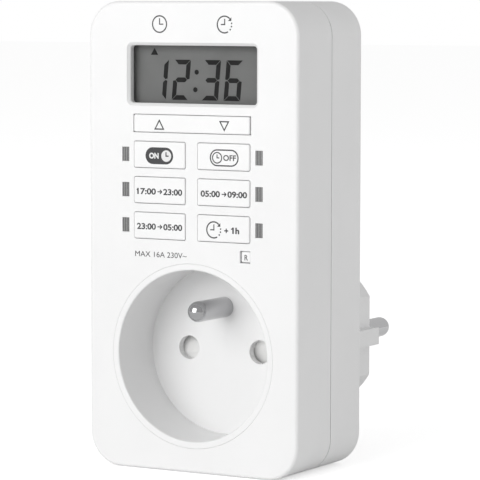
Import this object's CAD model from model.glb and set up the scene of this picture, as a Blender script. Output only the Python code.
import math

import bpy
import numpy as np
from mathutils import Matrix, Vector


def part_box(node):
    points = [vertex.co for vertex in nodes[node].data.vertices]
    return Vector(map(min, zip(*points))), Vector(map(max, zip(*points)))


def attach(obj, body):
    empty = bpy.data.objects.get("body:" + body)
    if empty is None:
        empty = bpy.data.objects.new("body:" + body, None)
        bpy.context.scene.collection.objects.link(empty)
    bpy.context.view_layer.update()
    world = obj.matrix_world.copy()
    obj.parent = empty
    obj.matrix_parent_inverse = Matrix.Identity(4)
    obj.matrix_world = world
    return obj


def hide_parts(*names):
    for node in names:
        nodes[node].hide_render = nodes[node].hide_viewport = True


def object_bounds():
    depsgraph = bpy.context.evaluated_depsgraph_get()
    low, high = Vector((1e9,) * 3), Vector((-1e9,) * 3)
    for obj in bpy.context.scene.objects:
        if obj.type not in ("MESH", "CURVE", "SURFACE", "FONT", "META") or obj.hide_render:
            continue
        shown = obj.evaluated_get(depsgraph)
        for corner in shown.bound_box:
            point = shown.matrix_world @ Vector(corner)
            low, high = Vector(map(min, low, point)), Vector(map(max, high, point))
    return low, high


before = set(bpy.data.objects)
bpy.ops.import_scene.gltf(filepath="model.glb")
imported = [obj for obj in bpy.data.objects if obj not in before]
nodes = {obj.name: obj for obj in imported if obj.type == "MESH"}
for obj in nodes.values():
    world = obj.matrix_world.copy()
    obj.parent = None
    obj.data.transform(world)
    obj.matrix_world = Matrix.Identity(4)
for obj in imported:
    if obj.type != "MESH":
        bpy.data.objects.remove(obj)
loaded_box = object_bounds()
scene = bpy.context.scene
MM = 0.001


# White housing.
# The covers, keys, socket insert, shutter and contact carrier of the real switch are injection
# moulded in a bright white plastic with a very fine even texture. The covers are screwed together
# from behind.
def new_material(name):
    """A material with its shader and the object's own coordinates."""
    material = bpy.data.materials.new(name)
    material.use_nodes = True
    tree = material.node_tree
    place = tree.nodes.new("ShaderNodeTexCoord")
    return material, tree, tree.nodes["Principled BSDF"], place.outputs["Object"]


def noise(tree, place, scale, detail=2.0):
    """A noise with so many waves to the metre."""
    node = tree.nodes.new("ShaderNodeTexNoise")
    node.inputs["Scale"].default_value = scale
    node.inputs["Detail"].default_value = detail
    tree.links.new(place, node.inputs["Vector"])
    return node.outputs["Fac"]


def spread(tree, value, low, high):
    """The middle range of a noise, stretched from low to high."""
    node = tree.nodes.new("ShaderNodeMapRange")
    node.inputs["From Min"].default_value = 0.3
    node.inputs["From Max"].default_value = 0.7
    node.inputs["To Min"].default_value = low
    node.inputs["To Max"].default_value = high
    tree.links.new(value, node.inputs["Value"])
    return node.outputs["Result"]


def blend_colours(tree, value, first, second):
    """A colour between two, by a value."""
    node = tree.nodes.new("ShaderNodeMix")
    node.data_type = "RGBA"
    node.inputs["A"].default_value = (*first, 1.0)
    node.inputs["B"].default_value = (*second, 1.0)
    tree.links.new(value, node.inputs["Factor"])
    return node.outputs["Result"]


def roughen(tree, shader, value, depth):
    """A relief of that depth in metres."""
    node = tree.nodes.new("ShaderNodeBump")
    node.inputs["Distance"].default_value = depth
    tree.links.new(value, node.inputs["Height"])
    tree.links.new(node.outputs["Normal"], shader.inputs["Normal"])


def surface(name, colour, roughness, grain, depth, metal=0.0, vary=0.02, shine=0.5):
    """A finish whose colour, gloss and fine relief vary a little over the piece."""
    material, tree, shader, place = new_material(name)
    cloud = spread(tree, noise(tree, place, 60.0), 0.0, 1.0)
    dark = [part * (1.0 - vary) for part in colour]
    tree.links.new(blend_colours(tree, cloud, dark, colour), shader.inputs["Base Color"])
    gloss = spread(tree, noise(tree, place, 400.0), roughness * 0.9, roughness * 1.1)
    tree.links.new(gloss, shader.inputs["Roughness"])
    roughen(tree, shader, noise(tree, place, grain, 3.0), depth)
    shader.inputs["Metallic"].default_value = metal
    shader.inputs["Specular IOR Level"].default_value = shine
    return material


def dress(material, *names):
    """Give CAD nodes a material."""
    for name in names:
        slots = nodes[name].data.materials
        if not len(slots):
            slots.append(material)
        for index in range(len(slots)):
            slots[index] = material


dress(surface("case_plastic", (0.84, 0.84, 0.84), 0.4, 9000.0, 1.5e-6), "front_cover", "rear_cover")
dress(surface("insert_plastic", (0.84, 0.84, 0.84), 0.36, 9000.0, 1e-6), "socket_insert")
dress(surface("key_plastic", (0.85, 0.85, 0.85), 0.36, 9000.0, 1e-6), "key_on", "key_off",
      "key_evening", "key_morning", "key_night", "key_one_hour", "reset_key", "rocker_key")
dress(surface("shutter_plastic", (0.82, 0.82, 0.81), 0.42, 7000.0, 2e-6), "shutter",
      "contact_carrier")

# Pins.
# The plug's two pins and the socket's earth pin are turned from brass, domed at the tip, riveted
# behind the moulding and plated with bright nickel, as is the plug's earth sleeve. The turned
# pieces here stand for the pins' CAD nodes, in the same form and place.
PIN_RADIUS = 2.4
SHANK_RADIUS = 2.0
RIVET_RADIUS = 1.5
RIVET_LENGTH = 1.2
PIN_ACROSS = 9.5
EARTH_UP = 10.0
SHOULDER_SEAT = 0.15
BOSS_BACK = 9.0
SOCKET_FLOOR = 43.35


def turned(node, across, up, profile, material):
    """A turned pin that stands for its CAD node. Each point of its profile, a radius and a level in
    front of the plug's face in millimetres, is carried round the pin's own line in 96 steps: at a
    turn t it lies its radius times cos t across from the line and its radius times sin t above it.
    The profile starts and ends on the line."""
    steps = 96
    turns = np.linspace(0.0, 2 * np.pi, steps, endpoint=False)
    rings = profile[1:-1]
    skin = np.empty((len(rings), steps, 3))
    skin[:, :, 0] = across + rings[:, :1] * np.cos(turns)
    skin[:, :, 1] = -rings[:, 1:]
    skin[:, :, 2] = up + rings[:, :1] * np.sin(turns)
    back = (across, -profile[0, 1], up)
    front = (across, -profile[-1, 1], up)
    points = np.vstack([[back], skin.reshape(-1, 3), [front]]) * MM

    here = np.arange(steps)
    after = (here + 1) % steps
    last = len(points) - 1
    starts = 1 + steps * np.arange(len(rings) - 1)[:, None]
    bands = np.stack([starts + here, starts + after, starts + steps + after, starts + steps + here], axis=-1)
    faces = bands.reshape(-1, 4).tolist()
    faces += np.column_stack([0 * here, 1 + after, 1 + here]).tolist()
    faces += np.column_stack([0 * here + last, last - steps + here, last - steps + after]).tolist()
    mesh = bpy.data.meshes.new(node + "_turned")
    mesh.from_pydata(points.tolist(), [], faces)
    mesh.shade_smooth()
    mesh.set_sharp_from_angle(angle=math.radians(30))
    mesh.materials.append(material)
    piece = bpy.data.objects.new(node + "_turned", mesh)
    scene.collection.objects.link(piece)
    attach(piece, "housing")
    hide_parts(node)


bows = np.radians(np.linspace(0.0, 90.0, 25))
dome_radii = PIN_RADIUS * np.sin(bows)
dome_drops = PIN_RADIUS * (1 - np.cos(bows))

plug_tip = -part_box("plug_pin_left")[1][1] / MM
plug_shank = [(PIN_RADIUS, SHOULDER_SEAT), (SHANK_RADIUS, SHOULDER_SEAT), (SHANK_RADIUS, BOSS_BACK),
              (RIVET_RADIUS, BOSS_BACK), (RIVET_RADIUS, BOSS_BACK + RIVET_LENGTH),
              (0.0, BOSS_BACK + RIVET_LENGTH)]
plug_profile = np.vstack([np.column_stack([dome_radii, plug_tip + dome_drops]), plug_shank])
plug_nickel = surface("plug_nickel", (0.82, 0.82, 0.83), 0.1, 3000.0, 3e-7, metal=1.0)
turned("plug_pin_left", -PIN_ACROSS, 0.0, plug_profile, plug_nickel)
turned("plug_pin_right", PIN_ACROSS, 0.0, plug_profile, plug_nickel)
dress(plug_nickel, "plug_pin_left", "plug_pin_right")

earth_tip = -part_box("socket_earth_pin")[0][1] / MM
earth_tail = -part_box("socket_earth_pin")[1][1] / MM
earth_shank = [(0.0, earth_tail), (RIVET_RADIUS, earth_tail), (RIVET_RADIUS, earth_tail + RIVET_LENGTH),
               (SHANK_RADIUS, earth_tail + RIVET_LENGTH), (SHANK_RADIUS, SOCKET_FLOOR),
               (PIN_RADIUS, SOCKET_FLOOR)]
earth_dome = np.column_stack([dome_radii, earth_tip - dome_drops])[::-1]
earth_nickel = surface("earth_nickel", (0.50, 0.50, 0.51), 0.12, 3000.0, 3e-7, metal=1.0)
turned("socket_earth_pin", 0.0, EARTH_UP, np.vstack([earth_shank, earth_dome]), earth_nickel)
dress(earth_nickel, "plug_earth_sleeve", "socket_earth_pin")

# Contacts, screws and spring.
# The straps, the sleeves and the earth bracket are stamped from bare brass sheet. The screws and
# the shutter's wire spring are plated steel, as is the crystal's can.
dress(surface("bare_brass", (0.80, 0.62, 0.33), 0.28, 3000.0, 1e-6, metal=1.0), "neutral_contact",
      "line_contact", "line_pin_link", "earth_strap", "earth_bracket")
dress(surface("plated_steel", (0.62, 0.62, 0.63), 0.3, 3000.0, 1e-6, metal=1.0), "case_screws",
      "control_board_screws", "power_board_screws", "carrier_screws", "shutter_spring", "crystal")

# Electrical parts.
# Two green glass fibre boards carry a relay, capacitors, a battery, lamps and a chip, which stand
# on them by their leads. A grey rubber mat lies under the keys, and a frame holds the display. The
# case hides them all.
dress(surface("solder_mask", (0.03, 0.22, 0.09), 0.35, 1500.0, 3e-6, vary=0.2), "control_board",
      "power_board")
dress(surface("black_plastic", (0.03, 0.03, 0.032), 0.45, 4000.0, 2e-6, vary=0.15),
      "controller_chip", "smoothing_capacitor", "board_link", "zebra_strip")
dress(surface("relay_plastic", (0.05, 0.14, 0.42), 0.4, 4000.0, 2e-6, vary=0.1), "relay", "varistor")
dress(surface("capacitor_plastic", (0.72, 0.56, 0.12), 0.4, 4000.0, 2e-6, vary=0.1),
      "film_capacitor", "backup_battery", "fuse")
dress(surface("grey_rubber", (0.42, 0.42, 0.42), 0.7, 4000.0, 4e-6, vary=0.1), "keypad_mat")
dress(surface("frame_plastic", (0.7, 0.7, 0.7), 0.45, 5000.0, 2e-6), "lcd_frame", "leds")


# Smoked lamp windows.
# Each column of three windows is one moulding of smoked clear plastic, pushed in from behind so
# that it lies almost flush with the front. Fine upright ribs in it spread the lamps' light.
def ribbed_plastic(name, dark, light, pitch):
    """Smoked plastic whose upright ribs, so far apart in metres, show as darker and lighter lines."""
    material, tree, shader, place = new_material(name)
    ribs = tree.nodes.new("ShaderNodeTexWave")
    ribs.wave_type = "BANDS"
    ribs.bands_direction = "X"
    ribs.inputs["Scale"].default_value = 2 * math.pi / (20 * pitch)
    ribs.inputs["Distortion"].default_value = 0.0
    tree.links.new(place, ribs.inputs["Vector"])
    tree.links.new(blend_colours(tree, ribs.outputs["Fac"], dark, light), shader.inputs["Base Color"])
    tree.links.new(spread(tree, noise(tree, place, 2000.0), 0.2, 0.3), shader.inputs["Roughness"])
    return material


RIB_PITCH = 0.66 * MM
dress(ribbed_plastic("smoked_plastic", (0.085, 0.085, 0.085), (0.22, 0.22, 0.22), RIB_PITCH),
      "led_lens_left", "led_lens_right")


# Display window and panel.
# A grey liquid crystal panel in a white frame lies behind a clear flat window of acrylic, which
# the case holds by its flange.
def clear_plastic(name):
    """Light goes straight through, dimmed very slightly and unevenly."""
    material, tree, shader, place = new_material(name)
    cloud = spread(tree, noise(tree, place, 300.0), 0.0, 1.0)
    tint = blend_colours(tree, cloud, (0.95, 0.95, 0.95), (0.98, 0.98, 0.98))
    through = tree.nodes.new("ShaderNodeBsdfTransparent")
    tree.links.new(tint, through.inputs["Color"])
    tree.links.new(through.outputs["BSDF"], tree.nodes["Material Output"].inputs["Surface"])
    tree.nodes.remove(shader)
    return material


dress(clear_plastic("clear_acrylic"), "display_window")
dress(surface("display_grey", (0.205, 0.208, 0.205), 0.8, 3000.0, 5e-7, vary=0.08, shine=0.0),
      "lcd_panel")


# Digits of the display.
# Each digit is made of up to seven slanted bars with mitred ends, which the panel darkens. They
# show half past twelve and six minutes, with two round dots and a small solid triangle.
def plates(name, outlines, level, thickness, body, material):
    """Closed flat plates. Each outline is a ring of points across and up, in millimetres, and the
    ring of its hole, with as many points, or None. A ring is set at its level in front of the
    plug's face and again its thickness further forward, and walls join the two. Round a hole, each
    side of the plate is a band between the outer ring and the inner one."""
    points, faces, base = [], [], 0
    for ring, hole in outlines:
        flat = ring if hole is None else np.vstack([ring, hole])
        count, front = len(ring), len(flat)
        levels = np.repeat([level, level + thickness], front)
        across, up = np.tile(flat, (2, 1)).T
        points.append(np.column_stack([across, -levels, up]) * MM)
        here = np.arange(count)
        after = (here + 1) % count
        sides = [np.column_stack([here, after, after + front, here + front])]
        if hole is None:
            faces += [(here + base + front).tolist(), (here + base)[::-1].tolist()]
        else:
            near, far = here + count, after + count
            sides.append(np.column_stack([far, near, near + front, far + front]))
            sides.append(np.column_stack([here, after, far, near]) + front)
            sides.append(np.column_stack([near, far, after, here]))
        faces += (np.vstack(sides) + base).tolist()
        base += 2 * front
    mesh = bpy.data.meshes.new(name)
    mesh.from_pydata(np.vstack(points).tolist(), [], faces)
    mesh.materials.append(material)
    piece = bpy.data.objects.new(name, mesh)
    scene.collection.objects.link(piece)
    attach(piece, body)


def anticlockwise(corners):
    """The ring in the order that turns its plate's faces outwards: the sum, over its points, of
    each one's across times the next one's up, less the next one's across times its up, is
    above nought."""
    ring = np.array(corners)
    after = np.roll(ring, -1, axis=0)
    area = np.sum(ring[:, 0] * after[:, 1] - after[:, 0] * ring[:, 1])
    return ring if area > 0 else ring[::-1]


def circle(across, up, radius, sides=32):
    """A ring on a circle: at a turn t, its radius times cos t across from the middle and its
    radius times sin t above it."""
    turns = np.arange(sides) * 2 * np.pi / sides
    return np.column_stack([across + radius * np.cos(turns), up + radius * np.sin(turns)])


DIGIT_HIGH = 9.15
DIGIT_WIDE = 4.3
DIGIT_LOW = 58.25
DIGIT_LEFTS = (-13.05, -7.17, 0.75, 6.57)
BAR = 1.08
POINT = BAR / 2
GAP = 0.10
BLUNT = 0.15
SLANT = 0.09
BARS_SHOWN = {"1": "bc", "2": "abged", "3": "abgcd", "6": "afgedc"}
DOTS = ((-0.52, 64.62), (-0.88, 60.63))
DOT_RADIUS = 0.56
POINTER = ((-11.77, 69.97), (-12.76, 68.44), (-10.78, 68.44))


def digit(left, shown):
    """The bars of one digit, named a to g clockwise from the top with g in the middle: an upright
    frame of mitred bars, in which each point then moves across by the slant times its height."""
    wide, high, half = DIGIT_WIDE, DIGIT_HIGH, DIGIT_HIGH / 2
    corners = {
        "a": [(GAP, high), (wide - GAP, high), (wide - BAR - GAP, high - BAR), (BAR + GAP, high - BAR)],
        "b": [(wide, high - GAP), (wide, half + GAP + BLUNT), (wide - POINT, half + GAP),
              (wide - BAR, half + POINT + GAP), (wide - BAR, high - BAR - GAP)],
        "c": [(wide, GAP), (wide, half - GAP - BLUNT), (wide - POINT, half - GAP),
              (wide - BAR, half - POINT - GAP), (wide - BAR, BAR + GAP)],
        "d": [(GAP, 0), (wide - GAP, 0), (wide - BAR - GAP, BAR), (BAR + GAP, BAR)],
        "e": [(0, GAP), (0, half - GAP - BLUNT), (POINT, half - GAP), (BAR, half - POINT - GAP),
              (BAR, BAR + GAP)],
        "f": [(0, high - GAP), (0, half + GAP + BLUNT), (POINT, half + GAP), (BAR, half + POINT + GAP),
              (BAR, high - BAR - GAP)],
        "g": [(POINT + GAP, half), (BAR + GAP, half + POINT), (wide - BAR - GAP, half + POINT),
              (wide - POINT - GAP, half), (wide - BAR - GAP, half - POINT), (BAR + GAP, half - POINT)],
    }
    rings = []
    for letter in shown:
        across, up = np.array(corners[letter]).T
        leant = np.column_stack([left + across + SLANT * up, DIGIT_LOW + up])
        rings.append((anticlockwise(leant), None))
    return rings


segment_dark = surface("display_dark", (0.032, 0.032, 0.032), 0.8, 3000.0, 5e-7, vary=0.1, shine=0.0)
panel_level = -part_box("lcd_panel")[0][1] / MM
digits = []
for left, figure in zip(DIGIT_LEFTS, "1236"):
    digits += digit(left, BARS_SHOWN[figure])
digits += [(circle(across, up, DOT_RADIUS), None) for across, up in DOTS]
digits.append((anticlockwise(POINTER), None))
plates("display_digits", digits, panel_level, 0.05, "housing", segment_dark)


# Icons on the front.
# A clock and a clock that counts down stand above the display. Like all the marks, they are pad
# printed in dark grey ink, a few hundredths of a millimetre thick.
def stroke(x0, z0, x1, z1, width):
    """A straight stroke with square ends: each end's corners lie half the width to either side."""
    length = math.hypot(x1 - x0, z1 - z0)
    aside = ((z0 - z1) / length * width / 2, (x1 - x0) / length * width / 2)
    ring = [(x0 + aside[0], z0 + aside[1]), (x0 - aside[0], z0 - aside[1]),
            (x1 - aside[0], z1 - aside[1]), (x1 + aside[0], z1 + aside[1])]
    return anticlockwise(ring), None


def arc(across, up, radius, width, start, end, sides=40):
    """A bent stroke on a circle, from one turn to another in degrees: an outer arc half the width
    outside the radius, and back along an inner arc half the width inside it."""
    turns = np.radians(np.linspace(start, end, sides + 1))
    ray = np.column_stack([np.cos(turns), np.sin(turns)])
    outer = (across, up) + (radius + width / 2) * ray
    inner = (across, up) + (radius - width / 2) * ray
    return anticlockwise(np.vstack([outer, inner[::-1]])), None


def hands(across, up, heel, long_hand, short_hand, width):
    """A clock's upright hand, which starts its heel below the middle, and its level hand."""
    return [stroke(across, up - heel, across, up + long_hand, width),
            stroke(across, up, across + short_hand, up, width)]


INK = 0.015
LINE = 0.3
HAND = 0.26
HEAD = 0.85
SPOT_RADIUS = 0.19
CLOCK_ACROSS = -8.48
CLOCK_UP = 75.48
CLOCK_RADIUS = 2.02


def countdown(across, up, radius):
    """The icon of a clock that counts down: an open ring with an arrowhead, three dots on its right
    and two hands."""
    head = math.radians(40)
    tip = (across + radius * math.cos(head) + 0.32, up + radius * math.sin(head) - 0.42)
    arrowhead = [tip, (tip[0] + 0.02, tip[1] + HEAD), (tip[0] - HEAD, tip[1] + 0.02)]
    parts = [arc(across, up, radius, LINE, 44, 300), (anticlockwise(arrowhead), None)]
    for turn in np.radians((8, -14, -37)):
        spot = circle(across + radius * math.cos(turn), up + radius * math.sin(turn), SPOT_RADIUS, 12)
        parts.append((spot, None))
    parts += hands(across + 0.05, up, 0.13, radius * 0.68, -0.05 - radius * 0.5, HAND)
    return parts


front_level = -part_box("front_cover")[0][1] / MM
ink = surface("dark_ink", (0.075, 0.075, 0.078), 0.6, 6000.0, 1e-6, vary=0.15, shine=0.2)
clock = [(circle(CLOCK_ACROSS, CLOCK_UP, CLOCK_RADIUS, 48),
          circle(CLOCK_ACROSS, CLOCK_UP, CLOCK_RADIUS - LINE, 48))]
clock += hands(CLOCK_ACROSS, CLOCK_UP - 0.02, 0.10, 1.34, 1.0, HAND)
plates("clock_icon", clock, front_level, INK, "housing", ink)
plates("countdown_icon", countdown(8.63, 75.46, 1.87), front_level, INK, "housing", ink)


# Marks on the long key.
# Two open triangles are printed on the rocking key and move with it, one that points up on its
# left half and one that points down on its right half.
def drawn_in(ring, share):
    """The ring with each point moved towards its middle by a share of its way there."""
    middle = ring.mean(axis=0)
    return middle + (ring - middle) * (1.0 - share)


key_level = -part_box("key_on")[0][1] / MM
up_mark = anticlockwise([(-8.42, 53.92), (-9.80, 51.50), (-7.06, 51.50)])
down_mark = anticlockwise([(7.38, 53.84), (10.08, 53.84), (8.73, 51.44)])
marks = [(mark, drawn_in(mark, 0.36)) for mark in (up_mark, down_mark)]
plates("rocker_marks", marks, key_level, INK, "rocker_key", ink)


# Marks on the keys for on and off.
# A solid dark pill with a white word and clock marks the on key, and an outlined pill with a dark
# word and clock marks the off key. They are printed on the keys and move with them.
def pill(left, right, low, high, sides=24):
    """A ring on a level bar with round ends: two half circles of half its height, the right one
    from below to above and the left one back down."""
    radius, middle = (high - low) / 2, (high + low) / 2
    turns = np.linspace(-np.pi / 2, np.pi / 2, sides + 1)
    bow = radius * np.column_stack([np.cos(turns), np.sin(turns)])
    return np.vstack([(right - radius, middle) + bow, (left + radius, middle) - bow])


def lettering(name, words, left, right, low, high, level, body, material, weight=0.0):
    """Words as a closed plate of ink: the letters' outlines, filled and thickened, are stretched to
    lie between two places across and two heights, in millimetres."""
    curve = bpy.data.curves.new(name, "FONT")
    curve.body = words
    curve.size = 1.0
    curve.offset = weight
    curve.extrude = 0.01
    curve.resolution_u = 6
    source = bpy.data.objects.new(name + "_source", curve)
    scene.collection.objects.link(source)
    shape = source.evaluated_get(bpy.context.evaluated_depsgraph_get())
    mesh = bpy.data.meshes.new_from_object(shape)
    bpy.data.objects.remove(source)
    flat = np.empty(len(mesh.vertices) * 3, np.float32)
    mesh.vertices.foreach_get("co", flat)
    flat = flat.reshape(-1, 3)
    least, most = flat.min(axis=0), flat.max(axis=0)
    share = (flat - least) / (most - least)
    placed = np.empty_like(flat)
    placed[:, 0] = (left + share[:, 0] * (right - left)) * MM
    placed[:, 1] = -(level + share[:, 2] * INK) * MM
    placed[:, 2] = (low + share[:, 1] * (high - low)) * MM
    mesh.vertices.foreach_set("co", placed.ravel())
    mesh.update()
    mesh.name = name
    mesh.materials.clear()
    mesh.materials.append(material)
    piece = bpy.data.objects.new(name, mesh)
    scene.collection.objects.link(piece)
    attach(piece, body)


PILL_LOW = 43.62
PILL_HIGH = 47.46
DIAL_UP = 45.54
DIAL_RADIUS = 1.32
ink_white = surface("white_ink", (0.84, 0.84, 0.84), 0.6, 6000.0, 1e-6, vary=0.15, shine=0.2)

on_pill = [(pill(-12.12, -4.74, PILL_LOW, PILL_HIGH), None)]
on_dial = [(circle(-6.56, DIAL_UP, DIAL_RADIUS), None)]
on_hands = hands(-6.62, 45.53, 0.13, 0.89, 0.69, 0.28)
plates("on_pill", on_pill, key_level, INK, "key_on", ink)
plates("on_clock", on_dial, key_level + INK, INK / 2, "key_on", ink_white)
plates("on_hands", on_hands, key_level + INK * 1.5, INK / 2, "key_on", ink)
lettering("on_word", "ON", -11.14, -8.58, 44.86, 46.22, key_level + INK, "key_on", ink_white, 0.05)

off_pill = [(pill(4.96, 12.48, PILL_LOW, PILL_HIGH),
             pill(4.96 + LINE, 12.48 - LINE, PILL_LOW + LINE, PILL_HIGH - LINE))]
off_dial = [(circle(6.88, DIAL_UP, DIAL_RADIUS, 40),
             circle(6.88, DIAL_UP, DIAL_RADIUS - LINE * 0.85, 40))]
off_hands = hands(6.86, 45.52, 0.12, 0.78, 0.59, 0.24)
plates("off_pill", off_pill + off_dial + off_hands, key_level, INK, "key_off", ink)
lettering("off_word", "OFF", 8.47, 11.82, 44.90, 46.22, key_level, "key_off", ink, 0.022)


# Marks on the three period keys.
# Each key shows the time at which its period starts and ends, with an arrow between them. The
# marks are printed on the key and move with it.
def flag(across, top):
    """The short slanting stroke at the top left of a figure one."""
    return stroke(across, top - 0.15, across - 0.42, top - 0.47, HAND)


def arrow(left, middle):
    """A level arrow with a two stroke head."""
    tip = left + 1.18
    return [stroke(left, middle, tip - 0.12, middle, 0.24),
            stroke(tip - 0.52, middle + 0.46, tip, middle - 0.04, 0.24),
            stroke(tip - 0.52, middle - 0.46, tip, middle + 0.04, 0.24)]


FIGURE_HALF = 0.72
PERIODS = {
    "key_evening": (("17:00", -14.36, -9.35), ("23:00", -7.36, -2.32), -8.92, 37.33),
    "key_morning": (("05:00", 2.56, 7.62), ("09:00", 9.58, 14.67), 8.08, 37.33),
    "key_night": (("23:00", -14.44, -9.36), ("05:00", -7.37, -2.32), -8.92, 29.30),
}
for key, (start, end, arrow_left, middle) in PERIODS.items():
    for when, (words, left, right) in (("_start", start), ("_end", end)):
        lettering(key + when, words, left, right, middle - FIGURE_HALF, middle + FIGURE_HALF,
                  key_level, key, ink, 0.03)
    plates(key + "_arrow", arrow(arrow_left, middle), key_level, INK, key, ink)
plates("key_evening_flag", [flag(-14.08, 38.05)], key_level, INK, "key_evening", ink)

# Marks on the one hour key.
# A countdown clock, a plus and the words for one hour are printed on the key and move with it.
HOUR_LOW = 28.50
HOUR_HIGH = 29.94
plus = [stroke(8.76, 29.13, 9.80, 29.13, HAND), stroke(9.28, 28.63, 9.28, 29.63, HAND)]
plates("one_hour_icon", countdown(6.0, 29.22, 1.82), key_level, INK, "key_one_hour", ink)
plates("one_hour_plus", plus, key_level, INK, "key_one_hour", ink)
lettering("one_hour_word", "1h", 10.86, 12.66, HOUR_LOW, HOUR_HIGH, key_level, "key_one_hour", ink, 0.04)
plates("one_hour_flag", [flag(10.98, HOUR_HIGH)], key_level, INK, "key_one_hour", ink)

# Mark on the reset key, and the rating.
# The small sunk key has its letter printed on it, which moves with it. The line with the greatest
# current and the voltage is printed on the front between the keys and the socket.
reset_level = -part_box("reset_key")[0][1] / MM
lettering("reset_word", "R", 13.68, 14.54, 22.62, 23.84, reset_level, "reset_key", ink, 0.012)
lettering("rating", "MAX 16A 230V~", -15.1, -1.3, 22.30, 23.55, front_level, "housing", ink)

# Studio.
# The photograph was taken on white, in soft even light. A pale floor, a white backdrop, a wide
# light in front and a weaker one at the right stand for that.
scene.view_settings.view_transform = "Standard"
FLOOR = loaded_box[0][2] - 0.1 * MM
REACH = 6.0


def stage_sheet(name, corners, material):
    """A flat four-sided sheet of the studio."""
    mesh = bpy.data.meshes.new(name)
    mesh.from_pydata(corners, [], [(0, 1, 2, 3)])
    mesh.materials.append(material)
    sheet = bpy.data.objects.new(name, mesh)
    scene.collection.objects.link(sheet)


pale = surface("studio_paper", (0.95, 0.95, 0.95), 0.8, 200.0, 1e-6, vary=0.0, shine=0.0)
lifted = pale.node_tree.nodes.new("ShaderNodeLightPath")
half = pale.node_tree.nodes.new("ShaderNodeMath")
half.operation = "MULTIPLY"
half.inputs[1].default_value = 0.5
pale.node_tree.links.new(lifted.outputs["Is Camera Ray"], half.inputs[0])
paper = pale.node_tree.nodes["Principled BSDF"]
paper.inputs["Emission Color"].default_value = (1, 1, 1, 1)
pale.node_tree.links.new(half.outputs["Value"], paper.inputs["Emission Strength"])
floor_corners = [(-REACH, -REACH, FLOOR), (REACH, -REACH, FLOOR), (REACH, REACH, FLOOR),
                 (-REACH, REACH, FLOOR)]
stage_sheet("floor", floor_corners, pale)

world = bpy.data.worlds.new("studio")
scene.world = world
world.use_nodes = True
sky = world.node_tree
soft = sky.nodes["Background"]
soft.inputs["Color"].default_value = (1, 1, 1, 1)
soft.inputs["Strength"].default_value = 0.50
backdrop = sky.nodes.new("ShaderNodeBackground")
backdrop.inputs["Color"].default_value = (1, 1, 1, 1)
seen = sky.nodes.new("ShaderNodeLightPath")
either = sky.nodes.new("ShaderNodeMixShader")
sky.links.new(seen.outputs["Is Camera Ray"], either.inputs["Fac"])
sky.links.new(soft.outputs["Background"], either.inputs[1])
sky.links.new(backdrop.outputs["Background"], either.inputs[2])
sky.links.new(either.outputs["Shader"], sky.nodes["World Output"].inputs["Surface"])


def soft_box(name, place, target, size, power):
    """A square light that looks at a point."""
    lamp = bpy.data.lights.new(name, "AREA")
    lamp.size = size
    lamp.energy = power
    holder = bpy.data.objects.new(name, lamp)
    direction = Vector(target) - Vector(place)
    look = direction.to_track_quat("-Z", "Y").to_matrix().to_4x4()
    holder.matrix_world = Matrix.Translation(place) @ look
    scene.collection.objects.link(holder)


soft_box("key_light", (-0.28, -1.1, 0.36), (0, -0.04, 0.03), 0.9, 8.4)
soft_box("side_light", (1.15, 0.35, 0.25), (0, -0.02, 0.03), 0.7, 2.6)

# Camera.
# It stands to the right of the object and a little above, where the edges in the photograph place
# it. The lens is given in pixels of the photograph.
YAW, PITCH, ROLL = math.radians(30.141), math.radians(4.808), math.radians(0.078)
DISTANCE = 0.630635
LENS_PIXELS = 2806.312
PICTURE_PIXELS = 480
SENSOR = 36.0
TARGET = Vector((0.012722, -0.0581, 0.0272))
forward = Vector((-math.sin(YAW) * math.cos(PITCH), math.cos(YAW) * math.cos(PITCH), -math.sin(PITCH)))
level_right = Vector((math.cos(YAW), math.sin(YAW), 0.0))
level_up = level_right.cross(forward)
right = math.cos(ROLL) * level_right + math.sin(ROLL) * level_up
up = math.cos(ROLL) * level_up - math.sin(ROLL) * level_right
lens = bpy.data.cameras.new("camera")
lens.sensor_width = SENSOR
lens.lens = LENS_PIXELS / PICTURE_PIXELS * SENSOR
lens.clip_start = 0.01
camera = bpy.data.objects.new("camera", lens)
facing = Matrix((right, up, -forward)).transposed().to_4x4()
camera.matrix_world = Matrix.Translation(TARGET - forward * DISTANCE) @ facing
scene.collection.objects.link(camera)
scene.camera = camera
